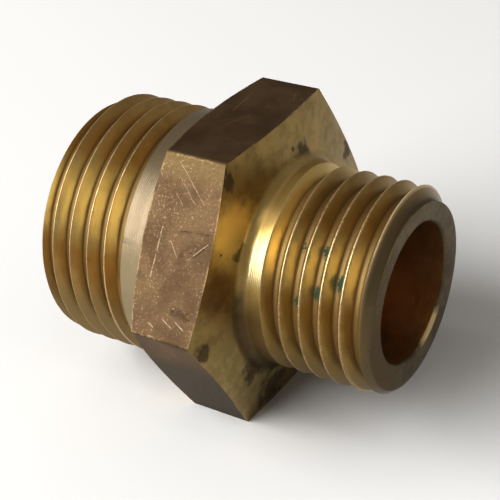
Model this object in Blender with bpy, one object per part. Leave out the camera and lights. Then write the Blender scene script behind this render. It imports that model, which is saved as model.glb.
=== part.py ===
"""Brass reducing hex nipple: one piece turned from hexagon bar, with a male thread at each end.

The bore runs along X, the smaller thread points to +X, and the part lies on one flat of its
hexagon, so +Z is up and the bottom flat is at Z = 0. Units are metres.
"""
import math

import bmesh
import bpy
from mathutils import Matrix

MM = 0.001

# hexagon
ACROSS_FLATS = 19.0 * MM
CORNER_RADIUS = ACROSS_FLATS / math.sqrt(3.0)
AXIS_HEIGHT = ACROSS_FLATS / 2.0
HEX_BACK_X = -2.08 * MM              # corner end next to the larger thread
HEX_FRONT_X = 1.99 * MM              # corner end next to the smaller thread
BACK_CHAMFER_ANGLE = math.radians(18.0)
FRONT_CHAMFER_ANGLE = math.radians(11.0)

# overall length, equal on both sides of the origin
BACK_END_X = -11.3 * MM
FRONT_END_X = 11.3 * MM

# parallel pipe threads, 19 turns per inch, 55 degree form, right-hand
PITCH = 25.4 * MM / 19.0
THREAD_DEPTH = 0.6403 * PITCH
FLANK_ANGLE = math.radians(27.5)
CREST_WIDTH = PITCH / 6.0
SMALL_RADIUS = 6.579 * MM
LARGE_RADIUS = 8.331 * MM
SMALL_CREST_X = 5.247 * MM           # a crest's place along the top of the small thread
LARGE_CREST_X = -10.247 * MM         # a crest's place along the top of the large thread
SMALL_THREAD_END_X = 4.20 * MM       # where the grooves run out into the plain shank
LARGE_THREAD_END_X = -4.59 * MM
SMALL_RUN_OUT_SLOPE = 0.43
LARGE_RUN_OUT_SLOPE = 0.94

# end chamfers, shank fillets and the stepped bore
SMALL_CHAMFER = (0.60 * MM, 0.45 * MM)      # along the axis, across the radius
LARGE_CHAMFER = (0.60 * MM, 0.55 * MM)
FILLET = 0.50 * MM
SMALL_BORE = 4.50 * MM
LARGE_BORE = 6.00 * MM
BORE_STEP_X = -1.60 * MM
BORE_STEP_SLOPE = math.tan(math.radians(59.0))

SEGMENTS = 72
FILLET_STEPS = 3
CUTTER_OVERLAP = 0.10 * MM           # how far a thread cutter stands above the crest
TURNED_RIM = 0.30 * MM               # how far the turned blank stands outside the hexagon


def new_object(name, bm):
    """Turn a bmesh into a scene object with its faces pointing out."""
    bmesh.ops.recalc_face_normals(bm, faces=bm.faces)
    mesh = bpy.data.meshes.new(name)
    bm.to_mesh(mesh)
    bm.free()
    piece = bpy.data.objects.new(name, mesh)
    bpy.context.collection.objects.link(piece)
    return piece


def as_cutter(piece):
    piece.hide_render = True
    piece.display_type = "WIRE"
    return piece


def cut(piece, tool, operation):
    boolean = piece.modifiers.new(tool.name, "BOOLEAN")
    boolean.operation = operation
    boolean.object = tool
    boolean.solver = "EXACT"


def quarter_turn(side):
    """Rotation that lays something made along Z down along X, or along -X."""
    return Matrix.Rotation(math.radians(90.0 * side), 3, "Y")


def fillet_points(x, radius, side):
    """Arc from the shank (at x, radius) out to the hexagon's face; side is the face's direction."""
    points = []
    for step in range(FILLET_STEPS + 1):
        angle = math.radians(90.0) * step / FILLET_STEPS
        points.append((x + side * FILLET * math.sin(angle), radius + FILLET * (1.0 - math.cos(angle))))
    return points


def turned_blank():
    """Everything the lathe makes: bore, ends, shanks and the two cones that chamfer the hexagon."""
    rim = CORNER_RADIUS + TURNED_RIM
    front_slope = math.tan(FRONT_CHAMFER_ANGLE)
    back_slope = math.tan(BACK_CHAMFER_ANGLE)
    front_foot = HEX_FRONT_X + (CORNER_RADIUS - SMALL_RADIUS - FILLET) * front_slope + FILLET
    back_foot = HEX_BACK_X - (CORNER_RADIUS - LARGE_RADIUS - FILLET) * back_slope - FILLET
    step_length = (LARGE_BORE - SMALL_BORE) / BORE_STEP_SLOPE
    outline = [
        (BACK_END_X, LARGE_BORE),
        (BORE_STEP_X, LARGE_BORE),
        (BORE_STEP_X + step_length, SMALL_BORE),
        (FRONT_END_X, SMALL_BORE),
        (FRONT_END_X, SMALL_RADIUS - SMALL_CHAMFER[1]),
        (FRONT_END_X - SMALL_CHAMFER[0], SMALL_RADIUS),
    ]
    outline += fillet_points(front_foot, SMALL_RADIUS, -1)
    outline.append((HEX_FRONT_X - TURNED_RIM * front_slope, rim))
    outline.append((HEX_BACK_X + TURNED_RIM * back_slope, rim))
    outline += reversed(fillet_points(back_foot, LARGE_RADIUS, 1))
    outline.append((BACK_END_X + LARGE_CHAMFER[0], LARGE_RADIUS))
    outline.append((BACK_END_X, LARGE_RADIUS - LARGE_CHAMFER[1]))

    bm = bmesh.new()
    corners = [bm.verts.new((x, 0.0, radius)) for x, radius in outline]
    section = bm.faces.new(corners)
    ring = section.edges[:]
    bmesh.ops.delete(bm, geom=[section], context="FACES_ONLY")
    bmesh.ops.spin(
        bm, geom=ring + corners, cent=(0.0, 0.0, 0.0), axis=(1.0, 0.0, 0.0),
        angle=math.tau, steps=SEGMENTS, use_merge=True,
    )
    return new_object("hex_nipple", bm)


def hexagon_bar():
    """The bar the part is turned from, with flats at the top and the bottom."""
    bm = bmesh.new()
    made = bmesh.ops.create_circle(bm, cap_ends=True, radius=CORNER_RADIUS, segments=6)
    bmesh.ops.rotate(bm, verts=made["verts"], cent=(0.0, 0.0, 0.0), matrix=quarter_turn(1))
    bmesh.ops.translate(bm, verts=made["verts"], vec=(2.0 * BACK_END_X, 0.0, 0.0))
    grown = bmesh.ops.extrude_face_region(bm, geom=bm.faces[:])
    far_end = [item for item in grown["geom"] if isinstance(item, bmesh.types.BMVert)]
    bmesh.ops.translate(bm, verts=far_end, vec=(2.0 * (FRONT_END_X - BACK_END_X), 0.0, 0.0))
    return as_cutter(new_object("hexagon_bar", bm))


def run_out_core(name, thread_end_x, radius, slope, side):
    """Solid cone inside which a thread cutter is not allowed, so its grooves fade into the shank."""
    deep = 2.0 * THREAD_DEPTH / slope
    shallow = 2.5 * PITCH
    bm = bmesh.new()
    bmesh.ops.create_cone(
        bm, cap_ends=True, segments=SEGMENTS, depth=deep + shallow,
        radius1=radius + shallow * slope, radius2=radius - deep * slope,
    )
    # create_cone puts radius1 at -Z: turned so that the wide end points to the hexagon
    bmesh.ops.rotate(bm, verts=bm.verts, cent=(0.0, 0.0, 0.0), matrix=quarter_turn(side))
    middle = thread_end_x + side * (deep - shallow) / 2.0
    bmesh.ops.translate(bm, verts=bm.verts, vec=(middle, 0.0, 0.0))
    return as_cutter(new_object(name, bm))


def thread_cutter(name, radius, crest_x, first_turn, turns, core):
    """Helical groove of the thread form, from before the part's end to inside the plain shank."""
    root_half = CREST_WIDTH / 2.0
    reach = THREAD_DEPTH + CUTTER_OVERLAP
    outer_half = root_half + reach * math.tan(FLANK_ANGLE)
    middle = crest_x + (first_turn + 0.5) * PITCH
    root = radius - THREAD_DEPTH
    bm = bmesh.new()
    section = bm.faces.new([
        bm.verts.new((middle - outer_half, 0.0, root + reach)),
        bm.verts.new((middle - root_half, 0.0, root)),
        bm.verts.new((middle + root_half, 0.0, root)),
        bm.verts.new((middle + outer_half, 0.0, root + reach)),
    ])
    bmesh.ops.spin(
        bm, geom=[section] + section.edges[:] + section.verts[:], cent=(0.0, 0.0, 0.0),
        axis=(1.0, 0.0, 0.0), dvec=(PITCH / SEGMENTS, 0.0, 0.0),
        angle=math.tau * turns, steps=SEGMENTS * turns,
    )
    cutter = as_cutter(new_object(name, bm))
    cut(cutter, core, "DIFFERENCE")
    return cutter


def brass():
    material = bpy.data.materials.new("brass")
    material.use_nodes = True
    shader = material.node_tree.nodes["Principled BSDF"]
    shader.inputs["Base Color"].default_value = (0.50, 0.32, 0.12, 1.0)
    shader.inputs["Metallic"].default_value = 1.0
    shader.inputs["Roughness"].default_value = 0.35
    return material


def main():
    for old in list(bpy.data.objects):
        bpy.data.objects.remove(old)

    nipple = turned_blank()
    nipple.data.materials.append(brass())
    bar = hexagon_bar()
    cut(nipple, bar, "INTERSECT")

    small_core = run_out_core(
        "small_run_out", SMALL_THREAD_END_X, SMALL_RADIUS, SMALL_RUN_OUT_SLOPE, 1)
    small_cutter = thread_cutter("small_thread", SMALL_RADIUS, SMALL_CREST_X, -2, 8, small_core)
    cut(nipple, small_cutter, "DIFFERENCE")

    large_core = run_out_core(
        "large_run_out", LARGE_THREAD_END_X, LARGE_RADIUS, LARGE_RUN_OUT_SLOPE, -1)
    large_cutter = thread_cutter("large_thread", LARGE_RADIUS, LARGE_CREST_X, -2, 7, large_core)
    cut(nipple, large_cutter, "DIFFERENCE")

    for tool in (bar, small_core, small_cutter, large_core, large_cutter):
        tool.parent = nipple
    nipple.location.z = AXIS_HEIGHT


main()
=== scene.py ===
import math

import bmesh
import bpy
from mathutils import Matrix, Vector, noise


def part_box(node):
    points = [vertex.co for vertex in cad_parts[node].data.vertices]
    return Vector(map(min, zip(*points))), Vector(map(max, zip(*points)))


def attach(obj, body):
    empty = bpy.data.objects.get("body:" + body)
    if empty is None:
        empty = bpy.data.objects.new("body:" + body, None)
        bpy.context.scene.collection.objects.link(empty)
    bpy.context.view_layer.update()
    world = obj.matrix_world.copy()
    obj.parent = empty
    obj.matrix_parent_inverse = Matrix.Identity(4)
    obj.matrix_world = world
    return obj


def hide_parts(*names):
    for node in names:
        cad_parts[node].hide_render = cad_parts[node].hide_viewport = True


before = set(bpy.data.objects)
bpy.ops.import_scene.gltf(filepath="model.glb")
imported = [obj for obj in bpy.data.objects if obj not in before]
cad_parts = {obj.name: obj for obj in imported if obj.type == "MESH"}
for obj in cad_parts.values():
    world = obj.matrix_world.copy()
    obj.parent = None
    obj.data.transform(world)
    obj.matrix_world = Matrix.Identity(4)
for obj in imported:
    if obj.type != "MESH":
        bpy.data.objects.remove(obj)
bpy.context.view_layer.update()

# ---------------------------------------------------------------------------------------------
# The turned blank: a length of brass hexagon bar, faced, bored right through in two sizes, and
# turned down at both ends to a plain shank. Cones at 18 and 11 degrees chamfer the hexagon.
# ---------------------------------------------------------------------------------------------
MM = 0.001
low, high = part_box("hex_nipple")
back_end = low.x
front_end = high.x
across_flats = high.z - low.z
axis_height = (low.z + high.z) / 2.0
corner_radius = across_flats / math.sqrt(3.0)
bore_axis = Vector((0.0, 0.0, axis_height))
along = Vector((1.0, 0.0, 0.0))

small_radius = 6.579 * MM
large_radius = 8.331 * MM
small_bore = 4.50 * MM
large_bore = 6.00 * MM
bore_step = -1.60 * MM
hex_back = -2.08 * MM
hex_front = 1.99 * MM
back_slope = math.tan(math.radians(18.0))
front_slope = math.tan(math.radians(11.0))
drill_point = math.radians(59.0)      # the slope of the step that the larger drill leaves
lead_in = 0.60 * MM                   # how long the chamfer before each thread is
small_chamfer = 0.45 * MM
large_chamfer = 0.55 * MM
ridge_round = 0.10 * MM
rim = 0.30 * MM                       # how far the blank's cones stand outside the bar's corners
fine_turn = 240                       # steps in one turn of the lathe


def rounded(outline, steps=6):
    """The points of a closed outline of (x, radius, rounding), with its corners rounded."""
    points = []
    for index, (x, y, rounding) in enumerate(outline):
        corner = Vector((x, y))
        if rounding == 0.0:
            points.append(corner)
            continue
        before = (Vector(outline[index - 1][:2]) - corner).normalized()
        after = (Vector(outline[(index + 1) % len(outline)][:2]) - corner).normalized()
        half = before.angle(after) / 2.0
        middle = corner + (before + after).normalized() * (rounding / math.sin(half))
        start = corner + before * (rounding / math.tan(half)) - middle
        end = corner + after * (rounding / math.tan(half)) - middle
        sweep = start.angle_signed(end)
        for step in range(steps + 1):
            points.append(middle + Matrix.Rotation(-sweep * step / steps, 2) @ start)
    return points


def finished(name, bm):
    """A mesh object from a bmesh, with its faces pointing out."""
    bmesh.ops.recalc_face_normals(bm, faces=bm.faces)
    mesh = bpy.data.meshes.new(name)
    bm.to_mesh(mesh)
    bm.free()
    piece = bpy.data.objects.new(name, mesh)
    bpy.context.collection.objects.link(piece)
    return piece


def machine(piece, tool, operation):
    """Cuts the tool's shape out of the piece, or trims the piece to it, and takes the tool away."""
    boolean = piece.modifiers.new("machine", "BOOLEAN")
    boolean.operation = operation
    boolean.object = tool
    boolean.solver = "MANIFOLD"
    graph = bpy.context.evaluated_depsgraph_get()
    rough = piece.data
    piece.data = bpy.data.meshes.new_from_object(piece.evaluated_get(graph))
    piece.modifiers.clear()
    bpy.data.meshes.remove(rough)
    bpy.data.objects.remove(tool)


blank = bmesh.new()
section = [blank.verts.new((x, 0.0, axis_height + radius)) for x, radius in rounded([
    (back_end, large_bore, 0.20 * MM),
    (bore_step, large_bore, 0.0),
    (bore_step + (large_bore - small_bore) / math.tan(drill_point), small_bore, 0.0),
    (front_end, small_bore, 0.22 * MM),
    (front_end, small_radius - small_chamfer, 0.35 * MM),
    (front_end - lead_in, small_radius, 0.20 * MM),
    (hex_front + (corner_radius - small_radius) * front_slope, small_radius, 0.70 * MM),
    (hex_front - rim * front_slope, corner_radius + rim, 0.0),
    (hex_back + rim * back_slope, corner_radius + rim, 0.0),
    (hex_back - (corner_radius - large_radius) * back_slope, large_radius, 0.40 * MM),
    (back_end + lead_in, large_radius, 0.15 * MM),
    (back_end, large_radius - large_chamfer, 0.25 * MM),
])]
outline = blank.faces.new(section).edges[:]
bmesh.ops.delete(blank, geom=blank.faces[:], context="FACES_ONLY")
bmesh.ops.spin(blank, geom=outline + section, cent=bore_axis, axis=along,
               angle=math.tau, steps=fine_turn, use_merge=True)
nipple = finished("nipple", blank)

bar = bmesh.new()
bmesh.ops.create_circle(bar, cap_ends=True, radius=corner_radius, segments=6)
bmesh.ops.rotate(bar, verts=bar.verts, matrix=Matrix.Rotation(math.radians(90.0), 3, "Y"))
bmesh.ops.translate(bar, verts=bar.verts, vec=(2.0 * back_end, 0.0, axis_height))
grown = bmesh.ops.extrude_face_region(bar, geom=bar.faces[:])
far_end = [item for item in grown["geom"] if isinstance(item, bmesh.types.BMVert)]
bmesh.ops.translate(bar, verts=far_end, vec=(2.0 * (front_end - back_end), 0.0, 0.0))
ridges = [edge for edge in bar.edges if abs((edge.verts[0].co - edge.verts[1].co).x) > 1.0 * MM]
bmesh.ops.bevel(bar, geom=ridges, offset=ridge_round, segments=3, profile=0.5,
                affect="EDGES", material=-1)
machine(nipple, finished("bar", bar), "INTERSECT")

# ---------------------------------------------------------------------------------------------
# The two male threads: right-hand parallel pipe threads of 19 turns per inch, cut with a die
# run out in a third of a turn by the hexagon. Their crests are a little torn, as brass cuts.
# ---------------------------------------------------------------------------------------------
pitch = 25.4 * MM / 19.0
thread_depth = 0.6403 * pitch         # the standard's depth for this form of thread
flank_degrees = 27.5
flank_angle = math.radians(flank_degrees)
round_ends = 90.0 - flank_degrees     # where, on a rounded crest or root, its flank begins
half_bend = math.radians(round_ends / 2.0)
root_round = 0.15 * MM
die_overreach = 0.10 * MM
thread_turns = 7
small_start = 3.910 * MM
large_start = -4.900 * MM - thread_turns * pitch
fading_turns = 0.33
fading_lift = 1.2 * thread_depth
torn = 0.012 * MM                     # how rough the tearing is
coarse_tears = 2600.0                 # lumps in a metre
fine_tears = 6500.0
ragged_tears = 5200.0
seam = 0.002 * MM
sliver = 0.0005 * MM
sharp_edge = math.radians(32.0)


def groove(radius, crest_flat, crest_round):
    """One groove's open outline of (x, radius): straight flanks, rounded root and eased crests."""
    crest = (pitch - crest_flat) / 2.0
    half_root = crest - thread_depth * math.tan(flank_angle)
    crest += crest_round * math.tan(half_bend)
    root = radius - thread_depth
    side = [(crest - crest_round * math.sin(math.radians(12.0)), radius + die_overreach)]
    for angle in map(math.radians, (12.0, 25.0, 40.0, round_ends)):
        side.append((crest - crest_round * math.sin(angle),
                     radius - crest_round * (1.0 - math.cos(angle))))
    bend = half_root - root_round * math.tan(half_bend)
    for angle in map(math.radians, (round_ends, 45.0, 30.0, 15.0, 0.0)):
        side.append((bend + root_round * math.sin(angle),
                     root + root_round * (1.0 - math.cos(angle))))
    return side + [(-x, y) for x, y in reversed(side)]


def cut_thread(radius, first_x, hexagon_first, crest_flat, crest_round):
    """Cuts a thread whose first groove starts at first_x, straight below the axis.
    Next to the hexagon, at its first turn or its last, the groove fades out."""
    bm = bmesh.new()
    section = [bm.verts.new((first_x + x, 0.0, axis_height - y))
               for x, y in groove(radius, crest_flat, crest_round)]
    top = bm.faces.new(section).edges[:]
    bmesh.ops.delete(bm, geom=bm.faces[:], context="FACES_ONLY")
    bmesh.ops.spin(bm, geom=top + section, cent=bore_axis, axis=along,
                   dvec=along * (pitch / fine_turn), angle=math.tau, steps=fine_turn)
    one_turn = bm.verts[:] + bm.edges[:] + bm.faces[:]
    for turn in range(1, thread_turns):
        copy = bmesh.ops.duplicate(bm, geom=one_turn)["geom"]
        moved = [item for item in copy if isinstance(item, bmesh.types.BMVert)]
        bmesh.ops.translate(bm, verts=moved, vec=along * (pitch * turn))
    bmesh.ops.remove_doubles(bm, verts=bm.verts, dist=seam)
    bmesh.ops.holes_fill(bm, edges=[edge for edge in bm.edges if edge.is_boundary], sides=0)
    for vert in bm.verts:
        outward = Vector((0.0, vert.co.y, vert.co.z - axis_height))
        part = (math.atan2(outward.z, outward.y) / math.tau + 0.25) % 1.0
        turns = part + round((vert.co.x - first_x) / pitch - part)
        to_hexagon = turns if hexagon_first else thread_turns - turns
        lift = max(0.0, 1.0 - to_hexagon / fading_turns) ** 1.5 * fading_lift
        side = (vert.co.x - first_x - pitch * turns) * (-1.0 if hexagon_first else 1.0)
        by_shank = side > 0.0 and to_hexagon < 1.0
        if not by_shank and radius - 0.04 * MM < outward.length < radius + 0.05 * MM:
            lift += noise.noise(vert.co * coarse_tears) * torn
            lift += noise.noise(vert.co * fine_tears) * torn / 2.0
            vert.co.x += noise.noise(vert.co * ragged_tears) * torn
        vert.co += outward.normalized() * lift
    machine(nipple, finished("die", bm), "DIFFERENCE")


cut_thread(small_radius, small_start, hexagon_first=True,
           crest_flat=0.12 * MM, crest_round=0.10 * MM)
cut_thread(large_radius, large_start, hexagon_first=False,
           crest_flat=0.06 * MM, crest_round=0.05 * MM)

# The slivers that the cuts leave are merged away.
deburred = bmesh.new()
deburred.from_mesh(nipple.data)
bmesh.ops.remove_doubles(deburred, verts=deburred.verts, dist=sliver)
bmesh.ops.recalc_face_normals(deburred, faces=deburred.faces)
deburred.to_mesh(nipple.data)
deburred.free()
nipple.data.shade_smooth()
nipple.data.set_sharp_from_angle(angle=sharp_edge)

# ---------------------------------------------------------------------------------------------
# The hexagon's flats keep the drawn bar's skin: a thin brown oxide, rubbed bright along the
# edges. A spanner's jaws have scuffed one pair of flats to a gritty, pinkish, dented grey.
# ---------------------------------------------------------------------------------------------


class Wire:
    """One socket of a material's node tree, with arithmetic that adds Math nodes."""

    def __init__(self, socket):
        self.socket = socket

    def node(self, kind, settings=None, sockets=None, output=0):
        """Any other node: its type, its settings, and the values or wires of its sockets."""
        tree = self.socket.id_data
        made = tree.nodes.new(kind)
        for name, value in (settings or {}).items():
            setattr(made, name, value)
        for name, value in (sockets or {}).items():
            if isinstance(value, Wire):
                tree.links.new(value.socket, made.inputs[name])
            else:
                made.inputs[name].default_value = value
        return Wire(made.outputs[output])

    def maths(self, operation, other=0.0, swapped=False):
        """One Math node of this wire and the other, or of the other and this wire."""
        pair = (other, self) if swapped else (self, other)
        return self.node("ShaderNodeMath", {"operation": operation}, dict(enumerate(pair)))

    def __add__(self, other):
        return self.maths("ADD", other)

    def __sub__(self, other):
        return self.maths("SUBTRACT", other)

    def __mul__(self, other):
        return self.maths("MULTIPLY", other)

    def __truediv__(self, other):
        return self.maths("DIVIDE", other)

    def __rsub__(self, other):
        return self.maths("SUBTRACT", other, swapped=True)

    def __pow__(self, other):
        return self.maths("POWER", other)

    def __abs__(self):
        return self.maths("ABSOLUTE")

    __radd__ = __add__

    def least(self, other):
        return self.maths("MINIMUM", other)

    def most(self, other):
        return self.maths("MAXIMUM", other)

    def ease(self, start, end):
        """0 at start, 1 at end, and smooth between them; start may be the larger."""
        if start > end:
            return 1.0 - self.ease(end, start)
        return self.node("ShaderNodeMapRange", {"interpolation_type": "SMOOTHSTEP"},
                         {"Value": self, "From Min": start, "From Max": end})

    def tint(self, plain, coloured):
        """The colour that goes from plain to coloured as this wire goes from 0 to 1."""
        factor, first, second, result = 0, 6, 7, 2
        return self.node("ShaderNodeMix", {"data_type": "RGBA", "clamp_factor": True},
                         {factor: self, first: colour(plain), second: colour(coloured)},
                         output=result)

    def grain(self, scale, detail=3.0, roughness=0.55, stretch=(1.0, 1.0, 1.0)):
        """Cloudy noise of that many lumps per millimetre; the wire is a place in millimetres."""
        place = self.node("ShaderNodeMapping", {"vector_type": "POINT"},
                          {"Vector": self, "Scale": stretch})
        return self.node("ShaderNodeTexNoise", {"noise_dimensions": "3D"},
                         {"Vector": place, "Scale": scale, "Detail": detail,
                          "Roughness": roughness})


def colour(value):
    """A wire as it is, or a plain colour with the fourth number that a socket wants."""
    return value if isinstance(value, Wire) else (*value, 1.0)


class Finish:
    """One finish of the brass: its shader, and the place in millimetres from the bore's axis."""

    def __init__(self, name):
        self.material = bpy.data.materials.new(name)
        self.material.use_nodes = True
        tree = self.material.node_tree
        self.shader = tree.nodes["Principled BSDF"]
        where = Wire(tree.nodes.new("ShaderNodeTexCoord").outputs["Object"])
        self.place = where.node("ShaderNodeMapping", {"vector_type": "POINT"}, {
            "Vector": where, "Location": (0.0, 0.0, -axis_height / MM),
            "Scale": (1.0 / MM, 1.0 / MM, 1.0 / MM)})
        self.x, self.y, self.z = (
            self.place.node("ShaderNodeSeparateXYZ", None, {0: self.place}, output=axis)
            for axis in range(3))
        self.r = (self.y * self.y + self.z * self.z) ** 0.5

    def complete(self, base, roughness, metallic, relief):
        """Wires up the shader; relief is the surface's height in millimetres."""
        tree = self.material.node_tree
        bump = relief.node("ShaderNodeBump", None, {"Height": relief, "Distance": MM})
        for name, wire in (("Base Color", base), ("Roughness", roughness),
                           ("Metallic", metallic), ("Normal", bump)):
            if isinstance(wire, Wire):
                tree.links.new(wire.socket, self.shader.inputs[name])
            else:
                self.shader.inputs[name].default_value = wire
        nipple.data.materials.append(self.material)


def scratch(x, u, start, end, half_width):
    """1 along a straight scratch from start to end, fading to 0 at half_width from its line."""
    run = (end[0] - start[0], end[1] - start[1])
    length = run[0] ** 2 + run[1] ** 2
    part = ((x - start[0]) * run[0] + (u - start[1]) * run[1]) / length
    part = part.least(1.0).most(0.0)
    off_x = x - start[0] - part * run[0]
    off_u = u - start[1] - part * run[1]
    return ((off_x * off_x + off_u * off_u) ** 0.5).ease(half_width, half_width * 0.25)


nipple.data.materials.clear()
skin = Finish("bar_skin")
jaw = math.radians(150.0)             # the way the scuffed front flat faces, from +Y up
facing = skin.y * math.cos(jaw) + skin.z * math.sin(jaw)
across = skin.y * -math.sin(jaw) + skin.z * math.cos(jaw)
flat_out = across_flats / 2.0 / MM    # how far each flat is from the axis
on_flat = (flat_out - 0.25, flat_out - 0.10)
scuffed = abs(facing).ease(*on_flat)
front_flat = facing.ease(*on_flat)
top_flat = skin.z.ease(*on_flat)

corner_mm = corner_radius / MM
to_front = hex_front / MM + (corner_mm - skin.r) * front_slope - skin.x
to_back = skin.x - hex_back / MM + (corner_mm - skin.r) * back_slope
to_ridge = (corner_mm - skin.r) * 2.0
edge_grain = skin.place.grain(5.0, 3.0)
rubbed = (to_front.least(to_back).least(to_ridge) - (edge_grain - 0.5) * 0.35).ease(0.12, 0.02)
rubbed = rubbed * skin.place.grain(0.5, 3.0).ease(0.40, 0.58)

clouds = skin.place.grain(0.45, 4.0)
grit = skin.place.grain(5.5, 4.0, 0.65)
patches = skin.place.grain(0.9, 3.0).ease(0.40, 0.62)
toward_left = skin.x.ease(0.5, -1.8) * 0.03
speckle = (skin.place.grain(8.0, 3.0, 0.6) + patches * 0.05 + toward_left).ease(0.62, 0.72)
wander = skin.place.grain(1.6, 3.0) - 0.5
wander_x = skin.x + wander * 0.14
wander_u = across - wander * 0.12
marks = scratch(wander_x, wander_u, (-1.01, -5.06), (1.13, -2.95), 0.05)
for start, end, half_width in (
        ((-0.87, -4.25), (0.59, -2.78), 0.04),
        ((-0.93, -3.24), (-0.30, -2.59), 0.035),
        ((-1.36, -1.10), (-1.50, 1.95), 0.07),
        ((-0.60, -0.42), (0.11, 0.56), 0.05),
        ((0.73, 0.45), (2.02, -0.90), 0.05),
        ((-0.09, 4.18), (0.59, 4.55), 0.06),
        ((0.78, 4.10), (1.40, 4.48), 0.07),
        ((-0.99, 4.67), (-0.66, 4.79), 0.07)):
    marks = marks.most(scratch(wander_x, wander_u, start, end, half_width))
marks = marks * front_flat
for start, end, half_width in (
        ((-1.52, -3.16), (-1.36, -0.64), 0.07),
        ((0.03, -0.37), (-0.89, 1.35), 0.05),
        ((0.90, -4.60), (1.50, -3.10), 0.05)):
    marks = marks.most(scratch(wander_x, wander_u - across - skin.y, start, end, half_width)
                       * top_flat * 0.5)
marks = marks * skin.place.grain(3.0, 4.0, 0.65).ease(0.32, 0.58)
dents = scratch(skin.x, across, (0.65, 3.62), (1.45, 3.75), 0.42)
dents = dents.most(scratch(skin.x, across, (0.0, -1.11), (2.14, -1.32), 0.07) * 0.5)
dents = dents.most(scratch(skin.x, across, (0.80, 0.58), (2.05, -0.78), 0.08) * 0.7)
dents = dents.most(scratch(skin.x, across, (0.55, 0.30), (1.10, -0.30), 0.55) * 0.6) * front_flat
dents = dents * skin.place.grain(2.4, 3.0).ease(0.35, 0.60)

brown = clouds.ease(0.35, 0.65).tint((0.104, 0.062, 0.031), (0.156, 0.098, 0.050))
# Painted shade: the flats' brown darkens towards the bottom of the hexagon.
brown = skin.z.ease(-2.0, -4.0).tint(brown, (0.058, 0.043, 0.028))
pink = clouds.ease(0.35, 0.65).tint((0.112, 0.074, 0.043), (0.155, 0.106, 0.061))
pink = across.ease(-3.6, -5.0).tint(pink, (0.165, 0.118, 0.060))
pink = (speckle * 0.6).tint(pink, (0.32, 0.23, 0.15))
base = scuffed.tint(brown, pink)
base = (dents * 0.6).tint(base, (0.07, 0.045, 0.03))
base = (marks * 0.85).tint(base, (0.34, 0.26, 0.18))
base = (rubbed * 0.75).tint(base, (0.32, 0.235, 0.135))
skin.shader.inputs["Specular Tint"].default_value = (0.92, 0.88, 0.82, 1.0)
skin.complete(
    base,
    (0.44 + scuffed * 0.28 + (grit - 0.5) * 0.2).least(0.9),
    1.0,
    (grit - 0.5) * (0.004 + scuffed * 0.022) - dents * 0.06 - marks * 0.012,
)

# ---------------------------------------------------------------------------------------------
# The turned faces: the hexagon's two cones, the plain shanks and the end faces. Clean cut brass
# with fine tool lines, gone olive and brown in clouds where fingers and flux have touched it.
# ---------------------------------------------------------------------------------------------
turned = Finish("turned_brass")
tool_path = turned.x + turned.r
feed = turned.place.node("ShaderNodeCombineXYZ", None, {
    0: tool_path, 1: turned.y * 0.02, 2: turned.z * 0.02}).grain(2.0, 3.0)
ring_spacing = 0.13
rings = (tool_path * (math.tau / ring_spacing) + feed * 9.0).maths("SINE")
clouds = turned.place.grain(0.42, 5.0, 0.6)
blotches = turned.place.grain(1.3, 4.0, 0.6)
smear = turned.place.grain(1.5, 2.0, 0.5)
before_cone = turned.x.ease(1.2, 1.6)
on_hexagon = turned.r.ease(6.7, 7.2) * before_cone
on_shank = turned.r.ease(7.4, 6.9) * before_cone
at_back = turned.x.ease(-2.3, -2.8) * turned.r.ease(9.0, 8.5) * turned.x.ease(-5.8, -5.6)
at_end = turned.x.ease(10.6, 11.2).most(turned.x.ease(-10.6, -11.2))


def ragged_patch(y, z, radius, ragged):
    """1 inside a ragged round patch round y, z: the front cone's stains, and a painted glow and a
    painted highlight.
    """
    off_y = turned.y - y
    off_z = turned.z - z
    reach = (off_y * off_y + off_z * off_z) ** 0.5 + (smear - 0.5) * ragged
    return reach.ease(radius * 1.15, radius * 0.45)


stains = ragged_patch(-5.9, 3.8, 0.75, 2.0)
for y, z, radius, ragged in (
        (-5.1, -4.9, 1.3, 3.0),
        (-3.2, -5.8, 1.0, 3.0),
        (-3.0, -8.2, 1.6, 3.5),
        (-9.9, -1.0, 0.7, 1.6),
        (-5.6, 8.6, 0.7, 2.5),
        (1.9, 6.8, 0.9, 2.0),
        (0.9, 7.55, 0.16, 0.2),
        (-7.4, 4.6, 0.13, 0.1),
        (8.2, 3.8, 0.7, 2.0)):
    stains = stains.most(ragged_patch(y, z, radius, ragged))
stains = stains * on_hexagon
golden = clouds.ease(0.42, 0.62).tint((0.38, 0.27, 0.100), (0.45, 0.33, 0.135))
olive = blotches.ease(0.38, 0.62).tint((0.31, 0.230, 0.085), (0.25, 0.165, 0.058))
base = (on_hexagon * clouds.ease(0.30, 0.60)).tint(golden, olive)
# Painted reflection: a bright gold patch on the cone beside the small shank, where the shank's
# highlight glows in it.
painted_glow = ragged_patch(-6.0, 5.2, 2.4, 1.6) * on_hexagon
# Painted light: the lower part of the front cone is lightened, in blotches, for the lit floor that
# it mirrors.
lit_lower_cone = on_hexagon * turned.z.ease(-0.5, -3.0) * blotches.ease(0.40, 0.62)
base = (lit_lower_cone * 0.75).tint(base, (0.44, 0.345, 0.150))
base = (painted_glow * 0.9).tint(base, (0.74, 0.56, 0.21))
past_fillet = turned.x.ease(3.1, 3.4) * on_shank
# Painted light: the top of the small shank is lightened where the tube lamp lights it.
base = (past_fillet * turned.z.ease(3.8, 5.4)).tint(base, (0.62, 0.45, 0.18))
# Painted highlight: the band of the small shank that mirrors the soft lamp is tinted paler, and
# rippled more.
highlight_band = past_fillet * turned.z.ease(1.6, 2.8) * turned.z.ease(4.9, 4.2)
base = highlight_band.tint(base, (0.42, 0.34, 0.190))
# Painted shade: the small shank darkens towards its underside.
base = (on_shank * turned.z.ease(2.2, -0.4)).tint(base, (0.19, 0.125, 0.048))
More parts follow.
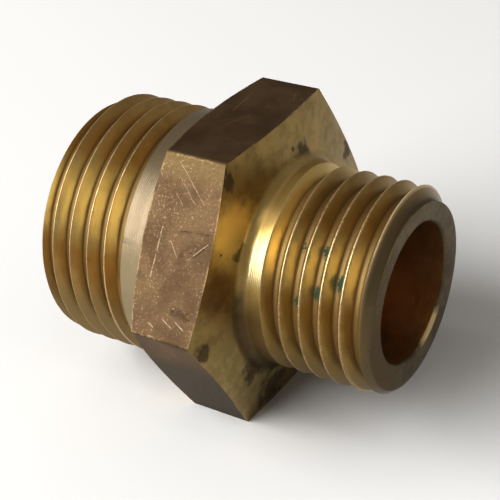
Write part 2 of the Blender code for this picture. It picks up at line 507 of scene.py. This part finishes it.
# Painted shade: the fillet corner below the small shank's highlight is darkened, and made rougher.
fillet_corner_shade = on_shank * turned.x.ease(3.50, 3.05) * turned.z.ease(2.8, 0.8) * (0.6 + smear * 0.6)
base = fillet_corner_shade.tint(base, (0.105, 0.070, 0.030))
base = (ragged_patch(-8.3, 2.3, 1.5, 1.4) * on_hexagon * 0.6).tint(base, (0.20, 0.105, 0.030))
specks = turned.place.grain(5.0, 3.0, 0.6).ease(0.62, 0.70) * turned.z.ease(3.0, 5.0)
specks = specks * turned.y.ease(-3.0, -1.0) * on_hexagon
base = (specks * 0.5).tint(base, (0.09, 0.065, 0.035))
# Painted light and shade: the large shank is darker on top and lighter towards the bottom.
grey = turned.z.ease(5.0, 1.0).tint((0.120, 0.090, 0.052), (0.220, 0.178, 0.105))
base = at_back.tint(base, grey)
dull = blotches.ease(0.35, 0.65).tint((0.105, 0.078, 0.047), (0.160, 0.128, 0.080))
dull = turned.y.ease(-1.0, -5.0).tint(dull, (0.120, 0.078, 0.030))
nicks = turned.place.grain(3.5, 4.0, 0.65).ease(0.60, 0.70) * turned.z.ease(-1.0, 2.0)
dull = (nicks * 0.6).tint(dull, (0.30, 0.24, 0.14))
base = (at_end * 0.9).tint(base, dull)
# Painted highlight: a pale arc on the lower side of the bore's rim at the small end, where it faces
# the soft lamp.
lip_highlight = ragged_patch(2.4, -4.2, 1.5, 1.0) * at_end * turned.r.ease(4.95, 4.70)
base = lip_highlight.tint(base, (0.62, 0.50, 0.26))
base = (stains * 0.75).tint(base, (0.060, 0.035, 0.022))
turned.complete(
    base,
    0.12 + smear * 0.12 + at_end * 0.16 + stains * 0.15 + on_hexagon * 0.15
    + at_back * (0.12 + feed * 0.16) + on_shank * 0.16 + fillet_corner_shade * 0.16,
    0.92 - at_back * 0.42 - at_end * 0.2,
    rings * feed * (0.003 - on_hexagon * 0.0027 - on_shank * 0.0012
                    + highlight_band * 0.002 + at_back * 0.003)
    + (smear - 0.5) * (0.003 - at_back * 0.0027),
)

# ---------------------------------------------------------------------------------------------
# The threads' finish: golden where the die has cut, worn pinkish and bright along the crests,
# brown with old grease in the roots, and green with verdigris in a few wet spots.
# ---------------------------------------------------------------------------------------------
cut = Finish("cut_thread")
on_small = cut.x.ease(0.0, 0.5)
depth = large_radius / MM - cut.r - on_small * ((large_radius - small_radius) / MM)
chatter = cut.place.node("ShaderNodeCombineXYZ", None, {
    0: cut.x * 1.5 + cut.r * 2.0, 1: cut.y * 0.25, 2: cut.z * 0.25}).grain(5.0, 3.0)
clouds = cut.place.grain(0.6, 4.0)
ragged = cut.place.grain(7.0, 3.0)
crest_wear = (depth - (ragged - 0.5) * 0.20).ease(0.055, 0.015) * ragged.ease(0.40, 0.60)
greasy = (depth + (clouds - 0.5) * 0.5).ease(0.50, 0.80)


def verdigris(x, degrees, radius):
    """1 in one green spot, at x along the small thread and degrees round it from +Y up."""
    angle = math.radians(degrees)
    groove_radius = 5.9
    off_y = cut.y - groove_radius * math.cos(angle)
    off_z = cut.z - groove_radius * math.sin(angle)
    off_x = (cut.x - x) * 1.8
    reach = (off_x * off_x + off_y * off_y + off_z * off_z) ** 0.5
    return (reach + (ragged - 0.5) * 0.8).ease(radius, radius * 0.5)


green = verdigris(6.30, 166.0, 0.50)
for x, degrees, radius in ((7.60, 158.0, 0.60), (8.98, 149.0, 0.70), (7.50, 132.5, 0.50),
                           (6.05, 133.5, 0.35), (8.50, 250.0, 0.70), (7.20, 330.0, 0.60)):
    green = green.most(verdigris(x, degrees, radius))
green = green * depth.ease(0.15, 0.45)
lamp_row_angle = math.radians(141.0)           # the row round the threads where the soft lamp's highlight falls, from +Y up
lamp_row_highlight = (cut.y * math.cos(lamp_row_angle) + cut.z * math.sin(lamp_row_angle)) / cut.r
lamp_row_highlight = (lamp_row_highlight + (clouds - 0.5) * 0.06).ease(0.90, 0.975)
brassy = clouds.ease(0.35, 0.65)
brown = brassy.tint((0.34, 0.225, 0.080), (0.40, 0.270, 0.100))
# Painted highlight: both threads are lightened along the row that mirrors the soft lamp.
large = lamp_row_highlight.tint(brown, (0.37, 0.300, 0.150))
# Painted shade: the large thread darkens towards its underside.
large = cut.z.ease(1.0, -3.0).tint(large, (0.29, 0.210, 0.095))
small = brassy.tint((0.280, 0.180, 0.052), (0.330, 0.220, 0.070))
small = lamp_row_highlight.tint(small, (0.32, 0.245, 0.110))
# Painted shade: the small thread darkens towards its underside.
small = cut.z.ease(0.5, -3.5).tint(small, (0.225, 0.150, 0.045))
# Painted light: the top of the small thread's first turns, by the shank, is lightened where the
# tube lamp lights it.
small = (cut.x.ease(5.6, 4.8) * cut.z.ease(2.0, 5.0)).tint(small, (0.60, 0.44, 0.17))
base = on_small.tint(large, small)
base = (greasy * 0.4).tint(base, (0.180, 0.105, 0.042))
caked = (depth + (clouds - 0.5) * 0.16).ease(0.68, 0.80)
base = (caked * (0.80 - on_small * 0.25)).tint(base, (0.15, 0.095, 0.032))
base = (crest_wear * 0.7).tint(base, (0.42, 0.29, 0.20))
# Painted highlight: the last crest before the small end's chamfer is lightened.
last_crest_highlight = depth.ease(0.18, 0.08) * cut.x.ease(9.7, 10.0) * cut.x.ease(10.9, 10.6)
base = last_crest_highlight.tint(base, (0.60, 0.47, 0.30))
base = (cut.x.ease(10.55, 11.0) * 0.85).tint(base, (0.105, 0.078, 0.044))
base = (green * 0.95).tint(base, (0.010, 0.044, 0.020))
cut.complete(
    base,
    (0.31 + (chatter - 0.5) * 0.10 + greasy * 0.10 + caked * 0.16
     + green * 0.3 + crest_wear * 0.2).least(0.8),
    0.76 - green * 0.7,
    (chatter - 0.5) * 0.008 + (ragged - 0.5) * (0.003 + crest_wear * 0.007),
)

# ---------------------------------------------------------------------------------------------
# The bore: drilled in two sizes, its wall dull, reddish brown and grooved by the drill.
# ---------------------------------------------------------------------------------------------
bored = Finish("bored_wall")
drill = bored.place.grain(3.0, 3.0, 0.55, (3.0, 0.6, 0.6))
rust = bored.place.grain(0.7, 4.0)
bored.complete(
    rust.ease(0.35, 0.65).tint((0.38, 0.205, 0.068), (0.46, 0.265, 0.095)),
    0.34 + drill * 0.2,
    1.0,
    (drill - 0.5) * 0.02,
)

# ---------------------------------------------------------------------------------------------
# One piece of metal in four finishes: each face takes the one of the tool that made it.
# ---------------------------------------------------------------------------------------------
SKIN, TURNED, THREAD, BORED = range(4)
small_runout = 4.60 * MM              # how far along each thread its plain shank still shows
large_runout = -5.60 * MM
small_shank = 3.60 * MM               # where each thread's own finish begins
large_shank = -4.20 * MM
shank_error = 0.03 * MM
bore_lip = 0.22 * MM                  # the rounding at the bore's mouths keeps the end's finish
end_face = 0.05 * MM                  # and so does this much of each end
metal = bmesh.new()
metal.from_mesh(nipple.data)
for face in metal.faces:
    spot = face.calc_center_median() - bore_axis
    radius = math.hypot(spot.y, spot.z)
    outward = Vector((0.0, spot.y, spot.z)).normalized().dot(face.normal)
    if abs(spot.x) < front_end - bore_lip and outward < -0.05:
        face.material_index = BORED
    elif radius > large_radius + 0.5 * MM and abs(face.normal.x) < 0.1:
        face.material_index = SKIN
    elif large_runout < spot.x < 0.0 and abs(radius - large_radius) < shank_error:
        face.material_index = TURNED
    elif 0.0 < spot.x < small_runout and abs(radius - small_radius) < shank_error:
        face.material_index = TURNED
    elif back_end + end_face < spot.x < large_shank and outward > 0.0:
        face.material_index = THREAD
    elif small_shank < spot.x < front_end - end_face and outward > 0.0:
        face.material_index = THREAD
    else:
        face.material_index = TURNED
metal.to_mesh(nipple.data)
metal.free()
even = nipple.modifiers.new("even_shading", "WEIGHTED_NORMAL")
even.keep_sharp = True
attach(nipple, "root")
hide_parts("hex_nipple")

# ---------------------------------------------------------------------------------------------
# The floor that the nipple lies on: a wide, plain, pale sheet.
# ---------------------------------------------------------------------------------------------
sheet = bmesh.new()
bmesh.ops.create_grid(sheet, x_segments=1, y_segments=1, size=0.6)
floor = finished("floor", sheet)
pale = bpy.data.materials.new("pale_floor")
pale.use_nodes = True
pale_shader = pale.node_tree.nodes["Principled BSDF"]
pale_shader.inputs["Base Color"].default_value = (0.54, 0.54, 0.54, 1.0)
pale_shader.inputs["Roughness"].default_value = 0.9
floor.data.materials.append(pale)

# ---------------------------------------------------------------------------------------------
# The studio: a large soft lamp to the front left, a narrow tube above it, and a dim room.
# ---------------------------------------------------------------------------------------------


def lamp(name, direction, distance, width, height, power):
    """A rectangular lamp in that direction from the nipple's middle, facing it."""
    light = bpy.data.lights.new(name, "AREA")
    light.shape = "RECTANGLE"
    light.size = width
    light.size_y = height
    light.energy = power
    placed = bpy.data.objects.new(name, light)
    toward = Vector(direction).normalized()
    placed.location = bore_axis + toward * distance
    placed.rotation_euler = toward.to_track_quat("Z", "Y").to_euler()
    bpy.context.collection.objects.link(placed)


lamp("soft_lamp", (-0.540, -0.650, 0.536), distance=0.60, width=0.66, height=0.46, power=10.4)
lamp("tube_lamp", (0.0, -0.302, 0.953), distance=0.53, width=1.20, height=0.03, power=0.60)
room = bpy.data.worlds.new("room")
bpy.context.scene.world = room
room.use_nodes = True
room.node_tree.nodes["Background"].inputs["Color"].default_value = (0.46, 0.44, 0.41, 1.0)
bpy.context.scene.view_settings.view_transform = "Standard"
bpy.context.scene.view_settings.gamma = 0.8

# ---------------------------------------------------------------------------------------------
# The camera: close, above the table and to the front right, a little rolled.
# ---------------------------------------------------------------------------------------------
lens = bpy.data.cameras.new("camera")
lens.lens = 93.92
lens.clip_start = 0.005
camera = bpy.data.objects.new("camera", lens)
camera.location = (39.24 * MM, -59.32 * MM, 54.74 * MM)
camera.rotation_euler = (math.radians(57.489), math.radians(3.697), math.radians(31.444))
bpy.context.collection.objects.link(camera)
bpy.context.scene.camera = camera
